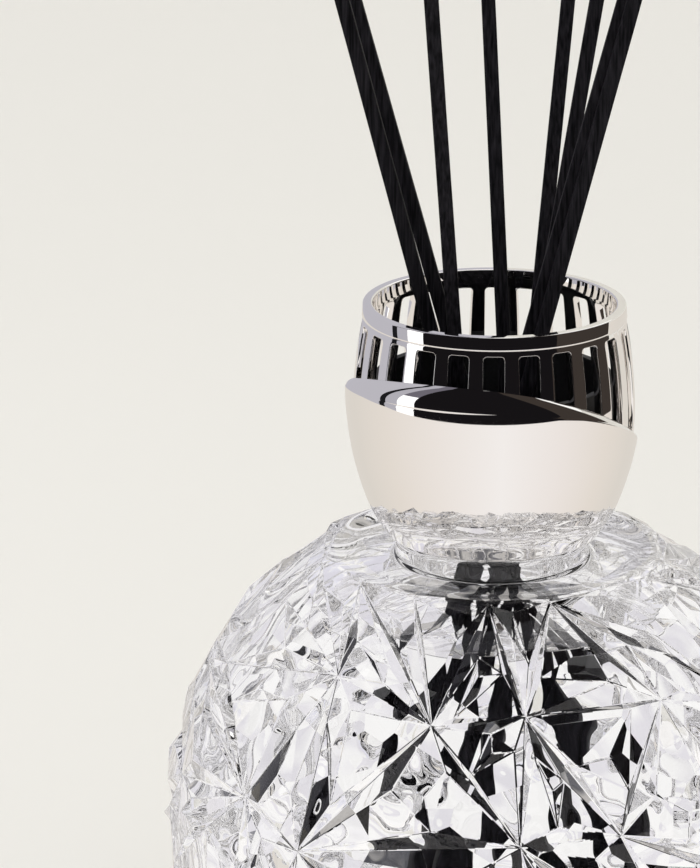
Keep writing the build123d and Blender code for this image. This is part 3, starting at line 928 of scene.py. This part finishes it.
crystal = [
    clear_material("crystal", GLASS_IOR, SMOOTH_RIPPLE),
    clear_material("crystal_wet", GLASS_IOR / LIQUID_IOR, CUT_RIPPLE),
    clear_material("crystal_cut", GLASS_IOR, CUT_RIPPLE, DOME, CUT_SHEEN),
]
liquid = [clear_material("liquid", LIQUID_IOR), clear_material("liquid_side", 1.0)]
chrome = [chrome_material()]
willow = [reed_material()]
dress(make_bottle(), "bottle", crystal, "glass_bottle")
dress(make_fragrance(), "bottle", liquid, "fragrance")
dress(make_bowl(), "crown", chrome, "crown_bowl")
dress(make_gallery(), "crown", chrome, "crown_gallery")
for number, reed in enumerate(REEDS, 1):
    dress(make_reed(number, reed), f"stick_{number}", willow, f"reed_{number}")
liner_plastic = grained_material("liner_plastic", (0.006, 0.006, 0.007), (0.016, 0.016, 0.018), 2200.0, 0.5)
silicone = grained_material("gasket_silicone", (0.74, 0.74, 0.71), (0.84, 0.84, 0.82), 900.0, 0.45, 0.6)
for node, material in (("crown_liner", liner_plastic), ("neck_gasket", silicone)):
    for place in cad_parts[node].material_slots:
        place.material = material

# ---------------------------------------------------------------- stage and light
# Sizes and places of the stage are in metres.

CARD_MIDDLE_Z = 0.12
REFLECTED_FAR = 0.55
LOW_TO_HIGH = (-12, 80)


def ring_points(radius, height, columns):
    return [(*around(radius, 360 * c / columns, 0)[:2], height) for c in range(columns)]


def make_floor():
    """Round pale floor that sweeps up into a low wall all round."""
    sweep_r, sweep_from, wall_top, columns = 1.2, 3.0, 2.6, 96
    outline = [(0.3, 0), (0.9, 0)]
    outline += [(sweep_from + sweep_r * sin(radians(a)), sweep_r * (1 - cos(radians(a))))
                for a in range(0, 91, 10)]
    outline.append((sweep_from + sweep_r, wall_top))
    points = [(0, 0, 0)]
    for r, z in outline:
        points += ring_points(r, z, columns)
    rings = [range(1 + k * columns, 1 + (k + 1) * columns) for k in range(len(outline))]
    faces = [(0, rings[0][c], rings[0][(c + 1) % columns]) for c in range(columns)]
    for low, high in zip(rings, rings[1:]):    # wound to face up, like the middle
        for c in range(columns):
            d = (c + 1) % columns
            faces.append((low[c], high[c], high[d], low[d]))
    mesh = bpy.data.meshes.new("stage_floor")
    mesh.from_pydata(points, [], faces)
    mesh.shade_smooth()
    cream = new_material("stage_cream")
    dress_shader(cream, Base_Color=(0.84, 0.83, 0.80, 1), Roughness=0.9)
    mesh.materials.append(cream)
    new_object("stage_floor", mesh)


def finish_card(obj, color, strength, through, other=None, per_m=0.0):
    """Glowing card seen only through glass, or only in reflections; other is its blotches' colour."""
    material = new_material(obj.name)
    material.node_tree.nodes.clear()
    glow = add(material, "Emission", Color=(*color, 1), Strength=strength)
    out = add(material, "OutputMaterial")
    material.node_tree.links.new(glow.outputs["Emission"], out.inputs["Surface"])
    if other:
        blotches = tones(material, noise(material, per_m, 1.0), (0.43, other), (0.52, color))
        material.node_tree.links.new(blotches, glow.inputs["Color"])
    obj.data.materials.append(material)
    obj.visible_camera = False
    obj.visible_diffuse = False
    obj.visible_shadow = False
    obj.visible_volume_scatter = False
    obj.visible_glossy = not through
    obj.visible_transmission = through
    return material, glow


def make_card(name, azimuths, elevations, distance, color,
              strength=1.0, through=False, other=None, per_m=0.0):
    """Curved card round the object."""
    columns, rows = 24, 8
    points, faces = [], []
    for i in range(rows + 1):
        el = radians(elevations[0] + (elevations[1] - elevations[0]) * i / rows)
        for j in range(columns + 1):
            az = azimuths[0] + (azimuths[1] - azimuths[0]) * j / columns
            points.append(around(distance * cos(el), az, CARD_MIDDLE_Z + distance * sin(el)))
    for i in range(rows):
        for j in range(columns):
            a = i * (columns + 1) + j
            faces.append((a, a + 1, a + columns + 2, a + columns + 1))
    mesh = bpy.data.meshes.new(name)
    mesh.from_pydata(points, [], faces)
    finish_card(new_object(name, mesh), color, strength, through, other, per_m)


def make_disc(name, radius, height, columns):
    mesh = bpy.data.meshes.new(name)
    mesh.from_pydata(ring_points(radius, height, columns), [], [tuple(range(columns))])
    return new_object(name, mesh)


def make_painted_floor_reflection():
    """Painted reflection of the lit floor: a glowing disc just above it that only reflections see, with
    painted light brightest in front and darker to the sides and back.
    """
    material, glow = finish_card(make_disc("card_painted_floor_reflection", 1.2, 0.0008, 96), (1.0, 1.0, 1.0), 1.0, False)
    links = material.node_tree.links
    turn = add(material, "TexGradient")
    turn.gradient_type = "RADIAL"
    ramp = add(material, "ValToRGB")
    # Tones of the painted floor reflection: painted light brightest in front, darker to the sides and back.
    side, back, front = (0.78, 0.725, 0.665), (0.715, 0.675, 0.62), (0.91, 0.88, 0.865)
    ramp.color_ramp.elements[0].color = (*side, 1)
    ramp.color_ramp.elements[-1].color = (*side, 1)
    for position, color in ((0.12, (0.84, 0.79, 0.75)), (0.27, front), (0.4, (0.85, 0.80, 0.77)),
                            (0.52, side), (0.62, back), (0.88, back)):
        ramp.color_ramp.elements.new(position).color = (*color, 1)
    links.new(add(material, "TexCoord").outputs["Object"], turn.inputs["Vector"])
    links.new(turn.outputs["Color"], ramp.inputs["Fac"])
    links.new(ramp.outputs["Color"], glow.inputs["Color"])


def make_world():
    world = bpy.data.worlds.new("studio")
    world.use_nodes = True
    back = world.node_tree.nodes["Background"]
    back.inputs["Color"].default_value = (1.0, 0.992, 0.975, 1)
    back.inputs["Strength"].default_value = 1.02
    bpy.context.scene.world = world


def make_key_light():
    data = bpy.data.lights.new("key", "AREA")
    data.shape = "RECTANGLE"
    data.size, data.size_y = 0.5, 0.7
    data.energy = 3.0
    key = new_object("key", data)
    key.location = (-0.9, -0.5, 1.0)
    key.rotation_euler = (Vector((0, 0, 0.1)) - key.location).to_track_quat("-Z", "Y").to_euler()
    key.visible_glossy = False


make_floor()
make_world()
make_key_light()

# What the chrome mirrors: dark in front and to the right, one bright softbox, grey to the left.
make_card("card_front", (-62, 54), LOW_TO_HIGH, REFLECTED_FAR, (0.008, 0.007, 0.008))
make_card("card_right", (54, 114), LOW_TO_HIGH, REFLECTED_FAR, (0.045, 0.036, 0.031))
make_card("card_softbox", (-78, -62), (-12, 22), REFLECTED_FAR, (1.0, 1.0, 1.0), 1.3)
make_card("card_over_softbox", (-78, -62), (22, 80), REFLECTED_FAR, (0.15, 0.14, 0.17))
make_card("card_left", (-90, -78), LOW_TO_HIGH, REFLECTED_FAR, (0.45, 0.44, 0.49))
make_card("card_stripe", (-96, -90), LOW_TO_HIGH, REFLECTED_FAR, (0.012, 0.012, 0.014))
make_card("card_far_left", (-180, -96), LOW_TO_HIGH, REFLECTED_FAR, (0.50, 0.49, 0.54))

# What is seen through the glass: pale and uneven all round, a little duller here and there.
make_card("through_all", (-180, 180), (-4, 60), 1.15, (1.02, 1.0, 0.98), 1.0, True, (0.80, 0.79, 0.87), 4.0)
make_card("through_left", (-150, -70), (5, 60), 1.0, (0.76, 0.74, 0.81), 1.0, True)
make_card("through_right", (75, 140), (10, 60), 1.0, (0.78, 0.77, 0.81), 1.0, True)
make_card("through_back", (165, 200), (35, 75), 1.0, (0.22, 0.22, 0.25), 1.0, True)
make_card("through_top", (-180, 180), (60, 89), 1.15, (0.3, 0.3, 0.33), 1.0, True)
make_card("through_ring", (-180, 180), (22, 42), 0.95, (0.76, 0.74, 0.78), 1.0, True)
make_painted_floor_reflection()
# Painted light: a glowing disc just above the floor that only rays through the glass see, standing in for
# the floor lit round and under the bottle, with duller blotches.
finish_card(make_disc("through_painted_floor_light", 0.7, 0.0002, 64), (0.97, 0.96, 0.95), 1.0, True,
            (0.80, 0.78, 0.82), 14.0)
# Painted shadow: a darker disc under the bottle's foot that only rays through the glass see, standing in
# for the shade under the bottle, with dark blotches.
finish_card(make_disc("through_painted_foot_shadow", 0.062, 0.0004, 64), (0.48, 0.46, 0.44), 1.0, True,
            (0.08, 0.08, 0.09), 45.0)

scene = bpy.context.scene
scene.view_settings.view_transform = "Standard"
scene.cycles.max_bounces = 24
scene.cycles.transmission_bounces = 24
scene.cycles.glossy_bounces = 12
scene.cycles.transparent_max_bounces = 12
